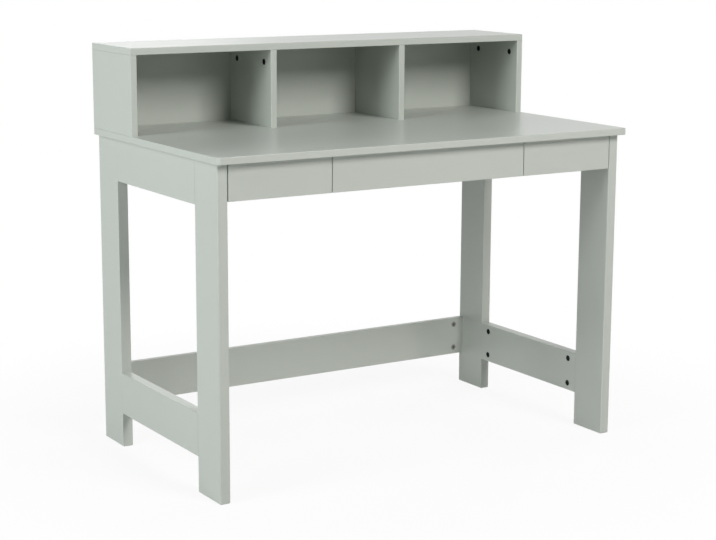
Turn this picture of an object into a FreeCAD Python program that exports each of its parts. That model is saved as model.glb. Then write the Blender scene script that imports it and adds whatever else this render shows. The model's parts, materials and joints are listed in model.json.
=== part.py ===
import FreeCAD, Part
import os

# Student desk with a three-bay hutch and one drawer on roller runners.
# X runs along the desk to the right, Y from front to back, Z up.
# The origin is on the floor under the middle of the desktop.

Vector = FreeCAD.Vector

# Overall sizes
desk_width = 1100.0
desk_depth = 636.0
desk_height = 760.0
hutch_height = 200.0
hutch_depth = 214.0

# Desktop
desktop_board = 16.0
desktop_corner_radius = 10.0
desktop_easing = 1.5

# Legs, side rails and the two rails across the back
leg_thickness = 25.0
leg_depth = 105.0
leg_side_inset = 10.0
leg_front_inset = 22.0
leg_rear_inset = 3.0
leg_easing = 3.0
upper_rail_height = 100.0
lower_rail_height = 100.0
lower_rail_lift = 82.0
rail_easing = 2.0
back_rail_board = 16.0

# Drawer front, false fronts and the partitions behind them
front_board = 16.0
front_height = 80.0
front_top_gap = 2.0
front_easing = 1.5
bay_width = 520.0
drawer_front_gap = 1.5
false_front_gap = 1.5
partition_board = 16.0
partition_lift = 4.0
partition_easing = 1.0

# Hutch
hutch_board = 16.0
hutch_easing = 1.5
hutch_bays = 3
hutch_back_board = 3.0
hutch_back_recess = 5.0
hutch_groove_depth = 6.0

# Drawer box
drawer_length = 400.0
drawer_lift = 12.0
drawer_side_board = 15.0
drawer_side_height = 58.0
drawer_easing = 1.0
drawer_bottom_board = 3.0
drawer_groove_lift = 8.0
drawer_groove_depth = 6.0

# Roller runners
runner_space = 12.5
runner_sheet = 1.2
runner_bend = 0.8
runner_lift = 1.0
runner_setback = 2.0
runner_channel_height = 22.0
runner_channel_depth = 9.5
runner_leaf_width = 11.0
runner_flange_gap = 3.4
desk_roller_radius = 9.0
desk_roller_inset = 14.0
drawer_roller_inset = 13.0
roller_width = 6.5
roller_easing = 0.8
roller_play = 0.3
roller_side_gap = 0.4
axle_radius = 2.5
axle_running_gap = 0.05
axle_head_radius = 4.5
axle_head_height = 1.2

# Cam fittings, dowels and screws
cam_radius = 7.5
cam_depth = 12.5
cam_recess = 0.4
cam_axis_depth = 8.0
cam_end_distance = 30.0
cam_spacing = 64.0
cam_mouth_share = 0.55
hutch_cam_inset = 35.0
bolt_shank_radius = 3.5
bolt_thread_radius = 2.5
bolt_thread_length = 11.0
dowel_radius = 4.0
dowel_face_depth = 10.0
dowel_end_depth = 20.0
hutch_screw_radius = 3.0
hutch_screw_length = 50.0
hutch_screw_head_radius = 5.0
hutch_screw_head_height = 3.0
small_screw_radius = 1.75
small_screw_length = 14.0
small_screw_head_radius = 3.5
small_screw_head_height = 1.2
back_screw_radius = 2.5
back_screw_length = 38.0

# Where fittings sit, as shares of the piece that carries them
desktop_cam_shares = (0.3, 0.7)
front_dowel_shares = (0.25, 0.75)
partition_cam_share = 0.62
partition_dowel_share = 0.25
drawer_cam_share = 0.62
drawer_dowel_share = 0.35
drawer_back_screw_shares = (0.55, 0.85)
drawer_bottom_screw_shares = (0.15, 0.5, 0.85)
desk_runner_screw_shares = (0.22, 0.58, 0.94)
drawer_runner_screw_shares = (0.12, 0.5, 0.82)
hutch_back_screw_shares = (0.25, 0.75)

# Clearances and the easing of edges that butt against another board
fitting_play = 0.1
groove_play = 0.1
cut_overrun = 1.0
joint_easing = 0.8
easing_limit_share = 0.4

# Lines that several pieces share
half_width = desk_width / 2
desk_front = -desk_depth / 2
desk_rear = desk_depth / 2
desktop_under = desk_height - desktop_board
leg_outer = half_width - leg_side_inset
leg_inner = leg_outer - leg_thickness
leg_front = desk_front + leg_front_inset
leg_rear = desk_rear - leg_rear_inset
rail_front = leg_front + leg_depth
rail_rear = leg_rear - leg_depth
upper_rail_z = (desktop_under - upper_rail_height, desktop_under)
lower_rail_z = (lower_rail_lift, lower_rail_lift + lower_rail_height)
back_rail_y = (leg_rear - back_rail_board, leg_rear)
front_y = (leg_front, leg_front + front_board)
front_top = desktop_under - front_top_gap
front_z = (front_top - front_height, front_top)
bay_half = bay_width / 2
hutch_front = desk_rear - hutch_depth
hutch_top_z = (desk_height + hutch_height - hutch_board, desk_height + hutch_height)
hutch_back_y = (desk_rear - hutch_back_recess - hutch_back_board, desk_rear - hutch_back_recess)
hutch_bay = (desk_width - (hutch_bays + 1) * hutch_board) / hutch_bays
divider_inner = hutch_bay / 2
drawer_half = bay_half - runner_space
drawer_y = (front_y[1], front_y[1] + drawer_length)
drawer_low = front_z[0] + drawer_lift
drawer_z = (drawer_low, drawer_low + drawer_side_height)
drawer_bottom_z = (drawer_low + drawer_groove_lift, drawer_low + drawer_groove_lift + drawer_bottom_board)
drawer_inner = drawer_half - drawer_side_board
drawer_bottom_half = drawer_inner + drawer_groove_depth
channel_low = drawer_low + runner_lift
track_z = channel_low + runner_sheet
channel_top = track_z + runner_channel_height + runner_sheet
desk_roller_z = track_z + roller_play + desk_roller_radius
drawer_roller_radius = runner_channel_height / 2 - roller_play
drawer_roller_z = track_z + runner_channel_height / 2
flange_top = desk_roller_z + desk_roller_radius + roller_play + runner_sheet
desk_runner_y = (drawer_y[0] + runner_setback, drawer_y[1] + runner_setback)
desk_roller_y = desk_runner_y[0] + desk_roller_inset
drawer_roller_y = drawer_y[1] - drawer_roller_inset

SIDES = (("left", -1), ("right", 1))
AXIS_X = Vector(1, 0, 0)
AXIS_Y = Vector(0, 1, 0)
AXIS_Z = Vector(0, 0, 1)

pieces = {}
cuts = {}


def block(x, y, z):
    """A box between two limits along each axis, given in any order."""
    low = Vector(min(x), min(y), min(z))
    size = Vector(max(x), max(y), max(z)) - low
    return Part.makeBox(size.x, size.y, size.z, low)


def rod(radius, start, along):
    """A round bar from start that runs the length of the vector along."""
    return Part.makeCylinder(radius, along.Length, start, along)


def at_share(limits, share):
    """The place that lies the given share of the way between two limits."""
    return limits[0] + share * (limits[1] - limits[0])


def board(x, y, z, easing, square=(), joint=()):
    """A board with eased edges.

    The edges of the faces named in square, such as z+, stay sharp. Those of the faces named in joint, which
    butt against another board, are eased only a little.
    """
    shape = block(x, y, z)
    box = shape.BoundBox
    face_lines = {
        "x-": (0, box.XMin),
        "x+": (0, box.XMax),
        "y-": (1, box.YMin),
        "y+": (1, box.YMax),
        "z-": (2, box.ZMin),
        "z+": (2, box.ZMax),
    }

    def on_face(edge, name):
        axis, limit = face_lines[name]
        return all(abs(corner.Point[axis] - limit) < Part.Precision.confusion() for corner in edge.Vertexes)

    def on_any(edge, names):
        return any(on_face(edge, name) for name in names)

    radius = min(easing, easing_limit_share * min(box.XLength, box.YLength, box.ZLength))
    shape = shape.makeFillet(radius, [edge for edge in shape.Edges if not on_any(edge, square + joint)])
    rims = [edge for edge in shape.Edges if on_any(edge, joint) and not on_any(edge, square)]
    return shape.makeFillet(min(joint_easing, radius), rims) if rims else shape


def add_piece(name, shape):
    pieces[name] = [shape]


def add_to_group(name, shape):
    pieces.setdefault(name, []).append(shape)


def cut_from(name, tool):
    cuts.setdefault(name, []).append(tool)


def add_cam(group, carrier, target, place, out, along, reach):
    """A cam in the carrier's face at place, and its bolt, which crosses reach and threads into the target.

    out points out of the carrier's face and along points from the cam into the target.
    """
    pocket_depth = cam_recess + cam_depth
    cut_from(carrier, rod(cam_radius + fitting_play, place + out * cut_overrun,
                          out * -(pocket_depth + fitting_play + cut_overrun)))
    cam = rod(cam_radius, place - out * cam_recess, out * -cam_depth)
    axis_point = place - out * cam_axis_depth
    mouth_half = bolt_shank_radius + fitting_play
    across = out.cross(along) * mouth_half
    mouth_floor = out * -(pocket_depth - cam_axis_depth + cut_overrun)
    mouth_top = out * mouth_half
    mouth_end = along * (cam_radius + cut_overrun)
    mouth_start = along * -(bolt_shank_radius * cam_mouth_share)
    first = axis_point + across + mouth_floor + mouth_start
    last = axis_point - across + mouth_top + mouth_end
    mouth = block((first.x, last.x), (first.y, last.y), (first.z, last.z))
    add_to_group(f"{group}_cams", cam.cut(mouth))
    shank = rod(bolt_shank_radius, axis_point, along * reach)
    thread = rod(bolt_thread_radius, axis_point, along * (reach + bolt_thread_length))
    add_to_group(f"{group}_cam_bolts", shank.fuse(thread))
    cut_from(carrier, rod(bolt_shank_radius + fitting_play, axis_point, along * (reach + cut_overrun)))
    cut_from(target, rod(bolt_thread_radius + fitting_play, axis_point,
                         along * (reach + bolt_thread_length + fitting_play)))


def add_dowel(group, carrier, target, place, along):
    """A dowel across the joint at place, deep in the carrier's end and shallow in the target's face."""
    start = place - along * dowel_end_depth
    length = dowel_end_depth + dowel_face_depth
    add_to_group(f"{group}_dowels", rod(dowel_radius, start, along * length))
    hole = rod(dowel_radius + fitting_play, start - along * fitting_play, along * (length + 2 * fitting_play))
    cut_from(carrier, hole)
    cut_from(target, hole)


def add_screw(group, held, place, along, radius, length, head_radius, head_height):
    """A screw whose head seats at place and whose shank runs the given length through the held pieces."""
    head = rod(head_radius, place, along * -head_height)
    add_to_group(group, head.fuse(rod(radius, place, along * length)))
    for name in held:
        cut_from(name, rod(radius + fitting_play, place - along * cut_overrun,
                           along * (length + fitting_play + cut_overrun)))


def add_small_screw(group, held, place, along):
    add_screw(group, held, place, along, small_screw_radius, small_screw_length,
              small_screw_head_radius, small_screw_head_height)


def make_desktop():
    """The top board, with rounded front corners and square rear ones that line up with the hutch."""
    shape = block((-half_width, half_width), (desk_front, desk_rear), (desktop_under, desk_height))

    def is_upright(edge):
        return edge.BoundBox.ZLength > Part.Precision.confusion()

    front_corners = [edge for edge in shape.Edges if is_upright(edge) and edge.CenterOfMass.y < 0]
    shape = shape.makeFillet(desktop_corner_radius, front_corners)
    rims = [edge for edge in shape.Edges if not is_upright(edge)]
    rear_corners = [edge for edge in shape.Edges if is_upright(edge) and edge.CenterOfMass.y > hutch_front]
    easing = min(desktop_easing, easing_limit_share * desktop_board)
    add_piece("desktop", shape.makeFillet(easing, rims + rear_corners))


def make_side_frame(side, sign):
    """Two legs and two rails, joined in one plane by cams and dowels in the ends of the rails."""
    x = (sign * leg_outer, sign * leg_inner)
    leg_z = (0, desktop_under)
    add_piece(f"{side}_front_leg", board(x, (leg_front, rail_front), leg_z, leg_easing, ("z+",), ("y+",)))
    add_piece(f"{side}_rear_leg", board(x, (rail_rear, leg_rear), leg_z, leg_easing, ("z+",), ("y-",)))
    rail_y = (rail_front, rail_rear)
    add_piece(f"{side}_upper_rail", board(x, rail_y, upper_rail_z, rail_easing, ("y-", "y+", "z+")))
    add_piece(f"{side}_lower_rail", board(x, rail_y, lower_rail_z, rail_easing, ("y-", "y+")))
    inward = AXIS_X * -sign
    middle_x = sign * (leg_outer + leg_inner) / 2
    leg_ends = (
        (f"{side}_front_leg", rail_front, -AXIS_Y),
        (f"{side}_rear_leg", rail_rear, AXIS_Y),
    )
    for rail, rail_z in ((f"{side}_upper_rail", upper_rail_z), (f"{side}_lower_rail", lower_rail_z)):
        middle_z = sum(rail_z) / 2
        for leg, end, along in leg_ends:
            add_dowel("frame", rail, leg, Vector(middle_x, end, middle_z), along)
            for z in (middle_z - cam_spacing / 2, middle_z + cam_spacing / 2):
                place = Vector(sign * leg_inner, end, z) - along * cam_end_distance
                add_cam("frame", rail, leg, place, inward, along, cam_end_distance)
    for share in desktop_cam_shares:
        place = Vector(sign * leg_inner, at_share(rail_y, share), desktop_under - cam_end_distance)
        add_cam("desktop", f"{side}_upper_rail", "desktop", place, inward, AXIS_Z, cam_end_distance)


def make_back_rails():
    """The upper and lower rails between the rear legs, with cams on their front faces."""
    x = (-leg_inner, leg_inner)
    add_piece("rear_stretcher", board(x, back_rail_y, lower_rail_z, rail_easing, ("x-", "x+")))
    add_piece("rear_upper_rail", board(x, back_rail_y, upper_rail_z, rail_easing, ("x-", "x+", "z+")))
    for rail, rail_z in (("rear_stretcher", lower_rail_z), ("rear_upper_rail", upper_rail_z)):
        middle_z = sum(rail_z) / 2
        for side, sign in SIDES:
            along = AXIS_X * sign
            leg = f"{side}_rear_leg"
            add_dowel("frame", rail, leg, Vector(sign * leg_inner, sum(back_rail_y) / 2, middle_z), along)
            for z in (middle_z - cam_spacing / 2, middle_z + cam_spacing / 2):
                place = Vector(sign * leg_inner, back_rail_y[0], z) - along * cam_end_distance
                add_cam("frame", rail, leg, place, -AXIS_Y, along, cam_end_distance)
    for share in desktop_cam_shares:
        place = Vector(at_share(x, share), back_rail_y[0], desktop_under - cam_end_distance)
        add_cam("desktop", "rear_upper_rail", "desktop", place, -AXIS_Y, AXIS_Z, cam_end_distance)


def make_drawer_bay(side, sign):
    """A fixed false front beside the drawer, and the partition that carries a runner."""
    front = f"{side}_false_front"
    partition = f"{side}_drawer_partition"
    front_x = (sign * (leg_inner - false_front_gap), sign * bay_half)
    add_piece(front, board(front_x, front_y, front_z, front_easing))
    partition_y = (front_y[1], back_rail_y[0])
    partition_z = (front_z[0] + partition_lift, desktop_under)
    partition_outer = sign * (bay_half + partition_board)
    add_piece(partition, board((sign * bay_half, partition_outer), partition_y, partition_z,
                               partition_easing, ("y-", "y+", "z+")))
    for share in front_dowel_shares:
        place = Vector(sign * leg_inner, sum(front_y) / 2, at_share(front_z, share))
        add_dowel("front", front, f"{side}_front_leg", place, AXIS_X * sign)
    middle_x = sign * (bay_half + partition_board / 2)
    cam_z = at_share(partition_z, partition_cam_share)
    dowel_z = at_share(partition_z, partition_dowel_share)
    for target, end, along in ((front, partition_y[0], -AXIS_Y), ("rear_upper_rail", partition_y[1], AXIS_Y)):
        add_dowel("partition", partition, target, Vector(middle_x, end, dowel_z), along)
        joint = Vector(partition_outer, end, cam_z)
        add_cam("partition", partition, target, joint - along * cam_end_distance, AXIS_X * sign, along,
                cam_end_distance)


def make_hutch():
    """Two sides, two dividers, a top over all of them and a thin back let into grooves."""
    top_z = hutch_top_z[0]
    upright_z = (desk_height, top_z)
    hutch_x = (-half_width, half_width)
    hutch_y = (hutch_front, desk_rear)
    add_piece("hutch_top", board(hutch_x, hutch_y, hutch_top_z, hutch_easing, (), ("z-",)))
    groove_y = (hutch_back_y[0] - groove_play, hutch_back_y[1] + groove_play)
    groove_x = half_width - hutch_board + hutch_groove_depth
    back_x = groove_x - groove_play
    back_top = top_z + hutch_groove_depth - groove_play
    add_piece("hutch_back", block((-back_x, back_x), hutch_back_y, (desk_height, back_top)))
    groove_z = (top_z - cut_overrun, top_z + hutch_groove_depth)
    cut_from("hutch_top", block((-groove_x, groove_x), groove_y, groove_z))
    for side, sign in SIDES:
        panel = f"hutch_{side}_side"
        inner = sign * (half_width - hutch_board)
        add_piece(panel, board((sign * half_width, inner), hutch_y, upright_z, hutch_easing, ("z-", "z+")))
        cut_from(panel, block((inner - sign * cut_overrun, sign * groove_x), groove_y,
                              (desk_height - cut_overrun, top_z + cut_overrun)))
        fix_upright(panel, inner, sign * (half_width - hutch_board / 2), -AXIS_X * sign)
        divider = f"hutch_{side}_divider"
        outer = sign * (divider_inner + hutch_board)
        middle = sign * (divider_inner + hutch_board / 2)
        add_piece(divider, board((sign * divider_inner, outer), (hutch_front, hutch_back_y[0]), upright_z,
                                 hutch_easing, ("z-", "z+", "y+")))
        fix_upright(divider, outer, middle, AXIS_X * sign)
        for share in hutch_back_screw_shares:
            place = Vector(middle, hutch_back_y[1], at_share(upright_z, share))
            add_small_screw("hutch_back_screws", (divider, "hutch_back"), place, -AXIS_Y)


def fix_upright(name, cam_face, middle, out):
    """Cams and a dowel hold a hutch upright to the hutch top, and screws hold it to the desktop."""
    top_z = hutch_top_z[0]
    places_y = (hutch_front + hutch_cam_inset, hutch_back_y[0] - hutch_cam_inset)
    add_dowel("hutch", name, "hutch_top", Vector(middle, sum(places_y) / 2, top_z), AXIS_Z)
    for y in places_y:
        add_cam("hutch", name, "hutch_top", Vector(cam_face, y, top_z - cam_end_distance), out, AXIS_Z,
                cam_end_distance)
        seat = Vector(middle, y, desktop_under + hutch_screw_head_height)
        add_screw("hutch_screws", ("desktop", name), seat, AXIS_Z, hutch_screw_radius, hutch_screw_length,
                  hutch_screw_head_radius, hutch_screw_head_height)
        cut_from("desktop", rod(hutch_screw_head_radius + fitting_play, seat,
                                AXIS_Z * -(hutch_screw_head_height + cut_overrun)))


def make_drawer():
    """A drawer box behind its front, with a thin bottom let into grooves."""
    front_half = bay_half - drawer_front_gap
    add_piece("drawer_front", board((-front_half, front_half), front_y, front_z, front_easing))
    groove_z = (drawer_bottom_z[0] - groove_play, drawer_bottom_z[1] + groove_play)
    bottom_half = drawer_bottom_half - groove_play
    groove_front = drawer_y[0] - drawer_groove_depth
    add_piece("drawer_bottom", block((-bottom_half, bottom_half), (groove_front + groove_play, drawer_y[1]),
                                     drawer_bottom_z))
    cut_from("drawer_front", block((-drawer_bottom_half, drawer_bottom_half),
                                   (groove_front, drawer_y[0] + cut_overrun), groove_z))
    back_y = (drawer_y[1] - drawer_side_board, drawer_y[1])
    back_x = (-drawer_inner, drawer_inner)
    back_z = (drawer_bottom_z[1], drawer_z[1])
    add_piece("drawer_back", board(back_x, back_y, back_z, drawer_easing, ("x-", "x+", "z-")))
    for share in drawer_bottom_screw_shares:
        place = Vector(at_share(back_x, share), sum(back_y) / 2, drawer_bottom_z[0])
        add_small_screw("drawer_bottom_screws", ("drawer_bottom", "drawer_back"), place, AXIS_Z)
    for side, sign in SIDES:
        panel = f"drawer_{side}_side"
        inner = sign * drawer_inner
        middle = sign * (drawer_half + drawer_inner) / 2
        add_piece(panel, board((sign * drawer_half, inner), drawer_y, drawer_z, drawer_easing, ("y-",)))
        cut_from(panel, block((inner - sign * cut_overrun, sign * drawer_bottom_half),
                              (drawer_y[0] - cut_overrun, drawer_y[1] + cut_overrun), groove_z))
        add_dowel("drawer", panel, "drawer_front",
                  Vector(middle, drawer_y[0], at_share(drawer_z, drawer_dowel_share)), -AXIS_Y)
        cam_place = Vector(inner, drawer_y[0] + cam_end_distance, at_share(drawer_z, drawer_cam_share))
        add_cam("drawer", panel, "drawer_front", cam_place, AXIS_X * -sign, -AXIS_Y, cam_end_distance)
        for share in drawer_back_screw_shares:
            place = Vector(sign * drawer_half, sum(back_y) / 2, at_share(drawer_z, share))
            add_screw("drawer_back_screws", (panel, "drawer_back"), place, AXIS_X * -sign, back_screw_radius,
                      back_screw_length, small_screw_head_radius, small_screw_head_height)


def runner_profile(sign, outline, inside_bends, outside_bends, y):
    """A bent sheet-steel profile along Y. Outline and bends are distances from the partition, and heights."""

    def corner(gap, z):
        return Vector(sign * (bay_half - gap), y[0], z)

    def on_line(edge, start):
        reach = max(end.Point.distanceToLine(start, AXIS_Y) for end in edge.Vertexes)
        return reach < Part.Precision.confusion()

    corners = [corner(gap, z) for gap, z in outline]
    shape = Part.Face(Part.makePolygon(corners + corners[:1])).extrude(AXIS_Y * (y[1] - y[0]))
    for bends, radius in ((inside_bends, runner_bend), (outside_bends, runner_bend + runner_sheet)):
        starts = [corner(gap, z) for gap, z in bends]
        edges = [edge for edge in shape.Edges if any(on_line(edge, start) for start in starts)]
        shape = shape.makeFillet(radius, edges)
    return shape


def roller(radius, start, along):
    """A plastic roller with eased rims and a bore that turns on its axle."""
    wheel = rod(radius, start, along * roller_width)
    rims = [edge for edge in wheel.Edges if len(edge.Vertexes) == 1]
    wheel = wheel.makeChamfer(roller_easing, rims)
    bore = rod(axle_radius + axle_running_gap, start - along * cut_overrun,
               along * (roller_width + 2 * cut_overrun))
    return wheel.cut(bore)


def add_roller(name, axle_group, runner, radius, web_face, along):
    """A roller beside a runner's web, on an axle that is riveted through the web and ends in a head."""
    axle_start = web_face - along * runner_sheet
    wheel_start = web_face + along * roller_side_gap
    head_start = wheel_start + along * (roller_width + roller_play)
    add_piece(name, roller(radius, wheel_start, along))
    axle = rod(axle_radius, axle_start, head_start - axle_start)
    add_to_group(axle_group, axle.fuse(rod(axle_head_radius, head_start, along * axle_head_height)))
    cut_from(runner, rod(axle_radius + fitting_play, axle_start - along * cut_overrun,
                         along * (runner_sheet + 2 * cut_overrun)))


def make_runner(side, sign):
    """A channel on the partition, and a stepped profile under the drawer side that rolls in it."""
    desk_runner = f"{side}_desk_runner"
    drawer_runner = f"{side}_drawer_runner"
    channel = (
        (0, channel_low),
        (runner_channel_depth, channel_low),
        (runner_channel_depth, track_z),
        (runner_sheet, track_z),
        (runner_sheet, channel_top - runner_sheet),
        (runner_channel_depth, channel_top - runner_sheet),
        (runner_channel_depth, channel_top),
        (0, channel_top),
    )
    channel_inside = ((runner_sheet, track_z), (runner_sheet, channel_top - runner_sheet))
    channel_outside = ((0, channel_low), (0, channel_top))
    add_piece(desk_runner, runner_profile(sign, channel, channel_inside, channel_outside, desk_runner_y))
    web_gap = runner_space - runner_sheet
    leaf_gap = runner_space + runner_leaf_width
    step = (
        (leaf_gap, drawer_low - runner_sheet),
        (web_gap, drawer_low - runner_sheet),
        (web_gap, flange_top - runner_sheet),
        (runner_flange_gap, flange_top - runner_sheet),
        (runner_flange_gap, flange_top),
        (runner_space, flange_top),
        (runner_space, drawer_low),
        (leaf_gap, drawer_low),
    )
    step_inside = ((runner_space, drawer_low), (web_gap, flange_top - runner_sheet))
    step_outside = ((web_gap, drawer_low - runner_sheet), (runner_space, flange_top))
    add_piece(drawer_runner, runner_profile(sign, step, step_inside, step_outside, drawer_y))
    notch_x = (sign * (bay_half - runner_flange_gap + cut_overrun), sign * (bay_half - web_gap))
    notch_y = (drawer_roller_y - drawer_roller_radius - runner_setback, drawer_y[1] + cut_overrun)
    notch_z = (flange_top - runner_sheet - cut_overrun, flange_top + cut_overrun)
    cut_from(drawer_runner, block(notch_x, notch_y, notch_z))
    inward = AXIS_X * -sign
    add_roller(f"{side}_desk_roller", "desk_roller_axles", desk_runner, desk_roller_radius,
               Vector(sign * (bay_half - runner_sheet), desk_roller_y, desk_roller_z), inward)
    add_roller(f"{side}_drawer_roller", "drawer_roller_axles", drawer_runner, drawer_roller_radius,
               Vector(sign * (bay_half - web_gap), drawer_roller_y, drawer_roller_z), -inward)
    for share in desk_runner_screw_shares:
        place = Vector(sign * (bay_half - runner_sheet), at_share(desk_runner_y, share), drawer_roller_z)
        add_small_screw("desk_runner_screws", (desk_runner, f"{side}_drawer_partition"), place, -inward)
    for share in drawer_runner_screw_shares:
        place = Vector(sign * (drawer_half - small_screw_head_radius), at_share(drawer_y, share),
                       drawer_low - runner_sheet)
        add_small_screw("drawer_runner_screws", (drawer_runner, f"drawer_{side}_side"), place, AXIS_Z)


def write_parts():
    """Cut every piece for its fittings and write one file for each node."""
    os.makedirs("parts", exist_ok=True)
    for name, solids in pieces.items():
        if name in cuts:
            solids = [solid.cut(cuts[name]) for solid in solids]
        shape = solids[0] if len(solids) == 1 else Part.makeCompound(solids)
        shape.exportStep(f"parts/{name}.step")


def main():
    make_desktop()
    make_back_rails()
    make_hutch()
    make_drawer()
    for side, sign in SIDES:
        make_side_frame(side, sign)
        make_drawer_bay(side, sign)
        make_runner(side, sign)
    write_parts()


main()
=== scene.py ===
import json
import math

import bmesh
import bpy
from mathutils import Matrix, Vector

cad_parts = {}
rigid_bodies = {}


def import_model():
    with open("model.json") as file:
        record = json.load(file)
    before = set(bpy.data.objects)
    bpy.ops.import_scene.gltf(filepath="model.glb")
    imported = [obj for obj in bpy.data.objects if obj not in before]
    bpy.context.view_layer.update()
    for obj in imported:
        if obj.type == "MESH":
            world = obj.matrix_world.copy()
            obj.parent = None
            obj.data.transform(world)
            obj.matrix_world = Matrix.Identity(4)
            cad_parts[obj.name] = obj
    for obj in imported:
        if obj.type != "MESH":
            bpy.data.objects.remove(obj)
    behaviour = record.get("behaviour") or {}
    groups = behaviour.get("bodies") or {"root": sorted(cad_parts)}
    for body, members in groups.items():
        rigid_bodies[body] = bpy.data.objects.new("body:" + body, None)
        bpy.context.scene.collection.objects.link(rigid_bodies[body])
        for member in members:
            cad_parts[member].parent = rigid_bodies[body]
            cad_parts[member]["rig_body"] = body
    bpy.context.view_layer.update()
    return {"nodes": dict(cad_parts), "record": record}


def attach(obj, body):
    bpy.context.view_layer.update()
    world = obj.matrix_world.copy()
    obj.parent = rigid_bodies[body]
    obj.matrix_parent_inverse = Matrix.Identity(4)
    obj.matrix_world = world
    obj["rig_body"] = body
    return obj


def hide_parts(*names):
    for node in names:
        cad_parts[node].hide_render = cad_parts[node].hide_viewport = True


# A sage-lacquered student desk with a hutch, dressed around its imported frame. Lengths are in metres.

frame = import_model()
nodes = frame["nodes"]
subparts = frame["record"]["subparts"]

# The photograph's frame and the camera that matches it
PHOTO_WIDTH = 716
FOCAL_PIXELS = 1748
SENSOR_WIDTH_MM = 36
CAMERA_PLACE = (-2.194, -3.520, 1.235)
CAMERA_YAW = -0.5555
CAMERA_PITCH = 0.1952
CAMERA_ROLL = 0.0045

# Studio
WHITE = (1, 1, 1, 1)
FILL_STRENGTH = 0.02
BOX_DISTANCE = 4.2
BOX_SIZE = 1.5
BOX_AIM_HEIGHT = 0.7
FLOOR_TONE = (0.8, 0.8, 0.8, 1)
FLOOR_HALF_SIZE = 30.0
SHADOW_REACH = 0.5
SHADOW_END = 1.4
WHITE_SHARE_IN_SHADOW = 0.9

# Finishes, as linear colours
SAGE = (0.462, 0.497, 0.453, 1)
SAGE_DEEP = (0.447, 0.482, 0.438, 1)
ZINC = (0.380, 0.380, 0.370, 1)
ZINC_DULL = (0.240, 0.240, 0.234, 1)
# Near-black tones of the same zinc, a painted shade on the cams that face sideways
PAINTED_SHADE_ZINC = (0.020, 0.020, 0.019, 1)
PAINTED_SHADE_ZINC_DULL = (0.010, 0.010, 0.010, 1)
STEEL = (0.560, 0.555, 0.530, 1)
STEEL_DULL = (0.430, 0.425, 0.400, 1)
BEECH = (0.560, 0.390, 0.230, 1)
BEECH_GRAIN = (0.420, 0.265, 0.140, 1)
POWDER = (0.780, 0.780, 0.760, 1)
POWDER_DEEP = (0.730, 0.730, 0.710, 1)
NYLON = (0.740, 0.735, 0.690, 1)
NYLON_DEEP = (0.660, 0.650, 0.600, 1)

# Lacquer
BOARD_ROUGHNESS = 0.30
PANEL_ROUGHNESS = 0.36
CLOUD_SHARE = 0.7
CLOUD_GLOSS_SWING = 0.03
MIST_GLOSS_SWING = 0.02
NOISE_MEAN = 0.5

# Cams
CAM_RIM = 0.0004
CAM_SLOT_HALF = 0.0011
CAM_SLOT_REACH = 0.0040
CAM_SLOT_DEPTH = 0.0040

# Screws, in shares of the head's height or radius
HEAD_DOME_SHARE = 0.45
HEAD_SHOULDER_SHARE = 0.2
HEAD_SLOT_HALF_SHARE = 0.13
HEAD_SLOT_REACH_SHARE = 0.52
HEAD_SLOT_DEPTH_SHARE = 0.75
TIP_LENGTH_IN_RADII = 2

# Points of the domed crown, each as a share of the head's radius and a share of the dome's drop
HEAD_CROWN = ((0.5, 0.2), (0.85, 0.62))

# Meshes
ROUND_STEPS = 32
SMOOTH_ANGLE = math.radians(35)
MERGE_DISTANCE = 1e-6
CUT_DISTANCE = 1e-7
LEVEL_DIGITS = 6
CORNER_DIGITS = 7
LEAST_UPWARD = 0.3
RANK_WEIGHTS = Vector((1.0, 1.7320508, 2.2360680))


class Value:
    """A shader value. Arithmetic with it adds Math nodes to its graph."""

    def __init__(self, graph, socket):
        self.graph = graph
        self.socket = socket

    def __add__(self, other):
        return self.graph.math("ADD", self, other)

    def __sub__(self, other):
        return self.graph.math("SUBTRACT", self, other)

    def __rsub__(self, other):
        return self.graph.math("SUBTRACT", other, self)

    def __mul__(self, other):
        return self.graph.math("MULTIPLY", self, other)

    __radd__ = __add__
    __rmul__ = __mul__


class Graph:
    """The node tree of one material or of the world."""

    def __init__(self, owner):
        owner.use_nodes = True
        self.tree = owner.node_tree
        self.tree.nodes.clear()

    def node(self, kind, settings=(), sockets=(), output=0):
        """Adds a node, sets it up, links or fills its sockets, and returns one of its outputs."""
        made = self.tree.nodes.new(kind)
        for name, setting in dict(settings).items():
            setattr(made, name, setting)
        for name, given in dict(sockets).items():
            if isinstance(given, Value):
                self.tree.links.new(given.socket, made.inputs[name])
            else:
                made.inputs[name].default_value = given
        return Value(self, made.outputs[output]) if made.outputs else None

    def math(self, operation, first, second):
        return self.node("ShaderNodeMath", {"operation": operation}, {0: first, 1: second})

    def place(self):
        """The point on the piece, in the object's own frame."""
        return self.node("ShaderNodeTexCoord", output="Object")

    def stretched(self, place, scale):
        return self.node("ShaderNodeMapping", (), {"Vector": place, "Scale": scale})

    def noise(self, place, scale, detail=2.0, rough=0.5):
        sockets = {"Vector": place, "Scale": scale, "Detail": detail, "Roughness": rough}
        return self.node("ShaderNodeTexNoise", (), sockets)

    def between(self, share, low, high):
        """A value that runs from low to high as a share runs from 0 to 1."""
        return share * (high - low) + low

    def blend(self, share, first, second):
        """A colour between two. The Mix node's colour sockets go by number, as their names repeat."""
        sockets = {"Factor": share, 6: first, 7: second}
        return self.node("ShaderNodeMix", {"data_type": "RGBA"}, sockets, output=2)

    def bump(self, height, strength, distance):
        sockets = {"Height": height, "Strength": strength, "Distance": distance}
        return self.node("ShaderNodeBump", (), sockets)

    def mix_shaders(self, share, first, second):
        return self.node("ShaderNodeMixShader", (), {0: share, 1: first, 2: second})

    def surface(self, **given):
        """A Principled surface on the material's output. Underscores in names stand for spaces."""
        sockets = {name.replace("_", " "): value for name, value in given.items()}
        shader = self.node("ShaderNodeBsdfPrincipled", (), sockets)
        self.node("ShaderNodeOutputMaterial", (), {"Surface": shader})


def new_material(name):
    material = bpy.data.materials.new(name)
    return material, Graph(material)


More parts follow.
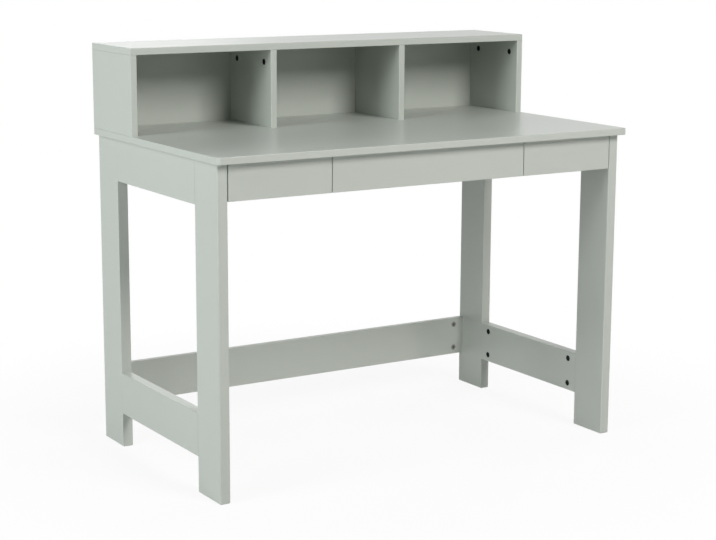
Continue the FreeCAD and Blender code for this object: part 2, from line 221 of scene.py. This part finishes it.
def sage_lacquer(name, roughness):
    """Sprayed satin lacquer on fibreboard, with a faint cloud in its tone and an orange-peel skin."""
    material, graph = new_material(name)
    place = graph.place()
    cloud = graph.noise(place, scale=2.3, detail=3.0)
    mist = graph.noise(place, scale=46.0)
    peel = graph.noise(place, scale=400.0, detail=1.5)
    mist_gloss = (mist - NOISE_MEAN) * MIST_GLOSS_SWING
    cloud_gloss = (cloud - NOISE_MEAN) * CLOUD_GLOSS_SWING
    graph.surface(
        Base_Color=graph.blend(cloud * CLOUD_SHARE + mist * (1 - CLOUD_SHARE), SAGE_DEEP, SAGE),
        Roughness=mist_gloss + cloud_gloss + roughness,
        IOR=1.5,
        Normal=graph.bump(peel, strength=0.3, distance=0.00003),
    )
    return material


def cast_zinc(name, dull_tone, tone):
    """Dull die-cast zinc of the cams."""
    material, graph = new_material(name)
    mottle = graph.noise(graph.place(), scale=900.0, detail=3.0)
    graph.surface(
        Base_Color=graph.blend(mottle, dull_tone, tone),
        Metallic=0.85,
        Roughness=graph.between(mottle, 0.42, 0.62),
        Normal=graph.bump(mottle, strength=0.15, distance=0.0003),
    )
    return material


def plated_steel():
    """Zinc plate on the screws, bolts and axles, mottled and finely pitted."""
    material, graph = new_material("plated_steel")
    place = graph.place()
    mottle = graph.noise(place, scale=420.0, detail=3.0)
    pits = graph.noise(place, scale=2600.0, detail=1.0)
    graph.surface(
        Base_Color=graph.blend(mottle, STEEL_DULL, STEEL),
        Metallic=1.0,
        Roughness=graph.between(mottle, 0.30, 0.44),
        Normal=graph.bump(pits, strength=0.08, distance=0.0002),
    )
    return material


def raw_beech():
    """Unfinished beech of the dowels, with short flecks along the grain."""
    material, graph = new_material("raw_beech")
    along_grain = graph.stretched(graph.place(), (60, 60, 900))
    fleck = graph.noise(along_grain, scale=3.0, detail=4.0, rough=0.6)
    graph.surface(
        Base_Color=graph.blend(fleck, BEECH_GRAIN, BEECH),
        Roughness=graph.between(fleck, 0.6, 0.75),
        Normal=graph.bump(fleck, strength=0.2, distance=0.0002),
    )
    return material


def powder_coat():
    """White powder coat on the sheet steel of the runners."""
    material, graph = new_material("powder_coat")
    place = graph.place()
    grain = graph.noise(place, scale=1500.0)
    cloud = graph.noise(place, scale=12.0)
    graph.surface(
        Base_Color=graph.blend(cloud, POWDER_DEEP, POWDER),
        Roughness=graph.between(grain, 0.36, 0.48),
        Normal=graph.bump(grain, strength=0.12, distance=0.0002),
    )
    return material


def moulded_nylon():
    """Natural nylon of the rollers, a little yellowed in patches."""
    material, graph = new_material("moulded_nylon")
    place = graph.place()
    cloud = graph.noise(place, scale=160.0)
    skin = graph.noise(place, scale=1900.0, detail=1.0)
    graph.surface(
        Base_Color=graph.blend(cloud, NYLON_DEEP, NYLON),
        Roughness=graph.between(cloud, 0.38, 0.48),
        Normal=graph.bump(skin, strength=0.05, distance=0.0002),
    )
    return material


def finish_nodes():
    """Gives each CAD node the finish of its material slot, and returns the finishes by slot."""
    finishes = {
        "lacquered_board": sage_lacquer("sage_lacquer", BOARD_ROUGHNESS),
        "lacquered_panel": sage_lacquer("sage_panel_lacquer", PANEL_ROUGHNESS),
        "cam_zinc": cast_zinc("cast_zinc", ZINC_DULL, ZINC),
        "fitting_steel": plated_steel(),
        "beech": raw_beech(),
        "runner_steel": powder_coat(),
        "roller_nylon": moulded_nylon(),
    }
    for row in subparts:
        mesh = nodes[row["node"]].data
        mesh.materials.clear()
        mesh.materials.append(finishes[row["material_slot"]])
    return finishes


def solids_of(node):
    """The separate solids of a node, each as a list of faces given by their corners and area."""
    shape = bmesh.new()
    shape.from_mesh(nodes[node].data)
    bmesh.ops.remove_doubles(shape, verts=shape.verts, dist=MERGE_DISTANCE)
    waiting = dict.fromkeys(shape.faces)
    solids = []
    while waiting:
        reached = [next(iter(waiting))]
        del waiting[reached[0]]
        for face in reached:
            for edge in face.edges:
                for other in edge.link_faces:
                    if other in waiting:
                        del waiting[other]
                        reached.append(other)
        solids.append([([corner.co.copy() for corner in f.verts], f.calc_area()) for f in reached])
    shape.free()
    return solids


def box_of(solid):
    points = [corner for corners, area in solid for corner in corners]
    low = Vector([min(point[i] for point in points) for i in range(3)])
    high = Vector([max(point[i] for point in points) for i in range(3)])
    return low, high


def ends_of(solid, axis):
    """A solid's ends along an axis, as levels and areas of flat face, the larger area first."""
    levels = [corner[axis] for corners, area in solid for corner in corners]

    def flat_area(level):
        def lies_there(corners):
            return all(abs(corner[axis] - level) < MERGE_DISTANCE for corner in corners)

        return sum(area for corners, area in solid if lies_there(corners))

    ends = [(level, flat_area(level)) for level in (min(levels), max(levels))]
    return sorted(ends, key=lambda end: end[1], reverse=True)


def seat_at(low, high, axis, level, towards):
    """The middle of a box, moved to a level along an axis, and the way that the fitting looks."""
    place = (low + high) / 2
    place[axis] = level
    out = Vector((0, 0, 0))
    out[axis] = math.copysign(1, towards)
    return place, out


def cam_of(solid):
    """Where a cam's face lies and which way it looks, and the cam's radius and depth."""
    low, high = box_of(solid)
    size = high - low
    axis = min(range(3), key=lambda i: size[i])
    (face, _), (back, _) = ends_of(solid, axis)
    return seat_at(low, high, axis, face, face - back), (max(size) / 2, size[axis])


def screw_of(solid):
    """Where a screw's head seats and which way it looks, and the sizes that screw_shape takes."""
    low, high = box_of(solid)
    size = high - low
    axis = max(range(3), key=lambda i: size[i])
    (head, _), (tip, tip_area) = ends_of(solid, axis)
    levels = {round(corner[axis], LEVEL_DIGITS) for corners, area in solid for corner in corners}
    steps = levels - {round(head, LEVEL_DIGITS), round(tip, LEVEL_DIGITS)}
    seat = min(steps, key=lambda level: abs(level - head))
    shank_radius = math.sqrt(tip_area / math.pi)
    sizes = (min(size) / 2, abs(head - seat), shank_radius, abs(tip - seat))
    return seat_at(low, high, axis, seat, head - tip), sizes


def cut_cross(shape, half, reach, depth, top):
    """Sinks a cross recess into the upward faces near the top of a round head about Z."""
    for axis in (Vector((1, 0, 0)), Vector((0, 1, 0))):
        for offset in (-reach, -half, half, reach):
            geometry = shape.verts[:] + shape.edges[:] + shape.faces[:]
            bmesh.ops.bisect_plane(shape, geom=geometry, dist=CUT_DISTANCE, plane_co=axis * offset,
                                   plane_no=axis)

    def in_cross(face):
        middle = face.calc_center_median()
        wide, narrow = sorted((abs(middle.x), abs(middle.y)), reverse=True)
        return face.normal.z > LEAST_UPWARD and middle.z > top and narrow < half and wide < reach

    shape.normal_update()
    cover = [face for face in shape.faces if in_cross(face)]
    sunk = bmesh.ops.extrude_face_region(shape, geom=cover, use_keep_orig=True)
    moved = [item for item in sunk["geom"] if isinstance(item, bmesh.types.BMVert)]
    bmesh.ops.translate(shape, verts=moved, vec=(0, 0, -depth))
    bmesh.ops.delete(shape, geom=cover, context="FACES")
    bmesh.ops.recalc_face_normals(shape, faces=shape.faces)


def turned(profile):
    """A round shape about Z, spun from (radius, height) points that start and end on the axis."""
    shape = bmesh.new()
    points = [shape.verts.new((radius, 0, height)) for radius, height in profile]
    edges = [shape.edges.new(pair) for pair in zip(points, points[1:])]
    bmesh.ops.spin(shape, geom=points + edges, cent=(0, 0, 0), axis=(0, 0, 1), angle=2 * math.pi,
                   steps=ROUND_STEPS, use_merge=True)
    bmesh.ops.remove_doubles(shape, verts=shape.verts, dist=MERGE_DISTANCE)
    bmesh.ops.recalc_face_normals(shape, faces=shape.faces)
    return shape


def cam_shape(radius, depth):
    """A cam with an eased rim and a cross recess, its face at Z 0."""
    flat = radius - CAM_RIM
    shape = turned(((0, 0), (flat, 0), (radius, -CAM_RIM), (radius, -depth), (0, -depth)))
    cut_cross(shape, CAM_SLOT_HALF, CAM_SLOT_REACH, CAM_SLOT_DEPTH, -CAM_RIM)
    return shape


def screw_shape(head_radius, head_height, shank_radius, length):
    """A screw with a domed cross head that seats at Z 0, and a pointed shank below it."""
    dome = head_height * HEAD_DOME_SHARE
    shoulder = head_height - dome - head_height * HEAD_SHOULDER_SHARE
    shape = turned((
        (0, head_height),
        *[(head_radius * out, head_height - dome * drop) for out, drop in HEAD_CROWN],
        (head_radius, shoulder),
        (head_radius, 0),
        (shank_radius, 0),
        (shank_radius, shank_radius * TIP_LENGTH_IN_RADII - length),
        (0, -length),
    ))
    cut_cross(shape, head_radius * HEAD_SLOT_HALF_SHARE, head_radius * HEAD_SLOT_REACH_SHARE,
              head_height * HEAD_SLOT_DEPTH_SHARE, 0)
    return shape


def put_in_order(shape):
    """Rounds corners, and ranks them, edges and faces by place, so that every run gives one mesh."""
    for vert in shape.verts:
        vert.co = [round(part, CORNER_DIGITS) for part in vert.co]
    shape.verts.sort(key=lambda vert: vert.co.dot(RANK_WEIGHTS))
    shape.edges.sort(key=lambda edge: (edge.verts[0].co + edge.verts[1].co).dot(RANK_WEIGHTS))
    shape.faces.sort(key=lambda face: face.calc_center_median().dot(RANK_WEIGHTS))


def add_fittings(name, node, finish, shape, seats):
    """One object that holds a copy of a fitting at each seat, and stands for a CAD node."""
    mesh = bpy.data.meshes.new(name)
    copies = bmesh.new()
    single = bpy.data.meshes.new(name + "_single")
    put_in_order(shape)
    shape.to_mesh(single)
    shape.free()
    for place, out in seats:
        start = len(copies.verts)
        copies.from_mesh(single)
        copies.verts.ensure_lookup_table()
        turn = out.to_track_quat("Z", "Y").to_matrix().to_4x4()
        bmesh.ops.transform(copies, matrix=Matrix.Translation(place) @ turn, verts=copies.verts[start:])
    copies.to_mesh(mesh)
    copies.free()
    bpy.data.meshes.remove(single)
    mesh.shade_smooth()
    mesh.set_sharp_from_angle(angle=SMOOTH_ANGLE)
    mesh.materials.append(finish)
    piece = bpy.data.objects.new(name, mesh)
    bpy.context.scene.collection.objects.link(piece)
    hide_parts(node)
    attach(piece, nodes[node]["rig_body"])


def make_cams(finishes):
    """Finer cams, with cross recesses, in place of the plain ones. Those in side faces get near-black
    zinc, a painted shade on the same zinc as the rest.
    """
    zinc = {
        # Painted shade: the cams that face sideways are drawn in near-black zinc
        "side": cast_zinc("painted_shade_zinc", PAINTED_SHADE_ZINC_DULL, PAINTED_SHADE_ZINC),
        "front": finishes["cam_zinc"],
    }
    for node in [row["node"] for row in subparts if row["material_slot"] == "cam_zinc"]:
        cams = [cam_of(solid) for solid in solids_of(node)]
        first_sizes = cams[0][1]
        seats = {
            "side": [seat for seat, sizes in cams if seat[1].x],
            "front": [seat for seat, sizes in cams if not seat[1].x],
        }
        for facing, finish in zinc.items():
            if seats[facing]:
                add_fittings(f"{node}_{facing}_cross", node, finish,
                             cam_shape(*first_sizes), seats[facing])


def make_screws(finishes):
    """Screws with domed cross heads, in place of the plain ones."""
    for node in [row["node"] for row in subparts if row["node"].endswith("screws")]:
        screws = [screw_of(solid) for solid in solids_of(node)]
        first_sizes = screws[0][1]
        add_fittings(node + "_cross", node, finishes["fitting_steel"],
                     screw_shape(*first_sizes), [seat for seat, sizes in screws])


def seen_directly(graph):
    """One for rays from the camera, a mirror or glass, and zero for those that light the desk."""
    camera = graph.node("ShaderNodeLightPath", output="Is Camera Ray")
    mirror = graph.node("ShaderNodeLightPath", output="Is Glossy Ray")
    glass = graph.node("ShaderNodeLightPath", output="Is Transmission Ray")
    return graph.math("MINIMUM", camera + mirror + glass, 1.0)


def make_world():
    """White where it is seen, and a soft grey fill where it lights the desk."""
    world = bpy.data.worlds.new("studio")
    bpy.context.scene.world = world
    graph = Graph(world)
    fill = graph.node("ShaderNodeBackground", (), {"Color": WHITE, "Strength": FILL_STRENGTH})
    white = graph.node("ShaderNodeBackground", (), {"Color": WHITE, "Strength": 1.0})
    shown = graph.mix_shaders(seen_directly(graph), fill, white)
    graph.node("ShaderNodeOutputWorld", (), {"Surface": shown})


def make_floor():
    """A plain white floor that keeps a pale shadow of the desk."""
    material, graph = new_material("studio_floor")
    matt = graph.node("ShaderNodeBsdfDiffuse", (), {"Color": FLOOR_TONE})
    white = graph.node("ShaderNodeEmission", (), {"Color": WHITE, "Strength": 1.0})
    distance = graph.node("ShaderNodeVectorMath", {"operation": "LENGTH"}, {0: graph.place()},
                          output="Value")
    away = graph.node("ShaderNodeMapRange", {"interpolation_type": "SMOOTHSTEP"}, {
        "Value": distance,
        "From Min": SHADOW_REACH,
        "From Max": SHADOW_END,
        "To Min": WHITE_SHARE_IN_SHADOW,
        "To Max": 1.0,
    })
    shown = graph.mix_shaders(seen_directly(graph) * away, matt, white)
    graph.node("ShaderNodeOutputMaterial", (), {"Surface": shown})
    shape = bmesh.new()
    bmesh.ops.create_grid(shape, x_segments=1, y_segments=1, size=FLOOR_HALF_SIZE)
    mesh = bpy.data.meshes.new("floor")
    shape.to_mesh(mesh)
    shape.free()
    mesh.materials.append(material)
    floor = bpy.data.objects.new("floor", mesh)
    bpy.context.scene.collection.objects.link(floor)


def softbox(name, azimuth, elevation, watts, colour):
    """A square softbox that faces the desk, at angles left of its front and above its middle."""
    middle = Vector((0, 0, BOX_AIM_HEIGHT))
    ahead = Vector((0, -BOX_DISTANCE, 0))
    ahead.rotate(Matrix.Rotation(math.radians(-elevation), 3, "X"))
    ahead.rotate(Matrix.Rotation(math.radians(-azimuth), 3, "Z"))
    light = bpy.data.lights.new(name, "AREA")
    light.shape = "SQUARE"
    light.size = BOX_SIZE
    light.energy = watts
    light.color = colour
    lamp = bpy.data.objects.new(name, light)
    lamp.location = middle + ahead
    lamp.rotation_euler = (-ahead).to_track_quat("-Z", "Y").to_euler()
    lamp.visible_camera = False
    bpy.context.scene.collection.objects.link(lamp)


def make_lights():
    """A warm box high in front, two cooler ones to the left, and weaker ones on the other sides."""
    softbox("front_box", azimuth=-12, elevation=32, watts=133, colour=(1.0, 0.965, 0.96))
    softbox("left_high_box", azimuth=75, elevation=32, watts=50, colour=(0.95, 0.99, 1.0))
    softbox("left_low_box", azimuth=86, elevation=10, watts=72, colour=(0.96, 0.99, 1.0))
    softbox("top_box", azimuth=0, elevation=88, watts=9, colour=(0.98, 0.98, 1.0))
    softbox("rear_box", azimuth=193, elevation=29, watts=24, colour=(1.0, 1.0, 1.0))
    softbox("right_box", azimuth=-108, elevation=14, watts=58, colour=(1.0, 1.0, 1.0))


def make_camera():
    """A camera left of the desk and above it, at the photograph's viewing angle."""
    data = bpy.data.cameras.new("camera")
    data.sensor_width = SENSOR_WIDTH_MM
    data.lens = FOCAL_PIXELS / PHOTO_WIDTH * SENSOR_WIDTH_MM
    camera = bpy.data.objects.new("camera", data)
    turn = (Matrix.Rotation(CAMERA_YAW, 4, "Z") @ Matrix.Rotation(math.pi / 2 - CAMERA_PITCH, 4, "X")
            @ Matrix.Rotation(CAMERA_ROLL, 4, "Z"))
    camera.matrix_world = Matrix.Translation(CAMERA_PLACE) @ turn
    bpy.context.scene.collection.objects.link(camera)
    bpy.context.scene.camera = camera


finishes = finish_nodes()
make_cams(finishes)
make_screws(finishes)
make_world()
make_floor()
make_lights()
make_camera()
bpy.context.scene.view_settings.view_transform = "Standard"
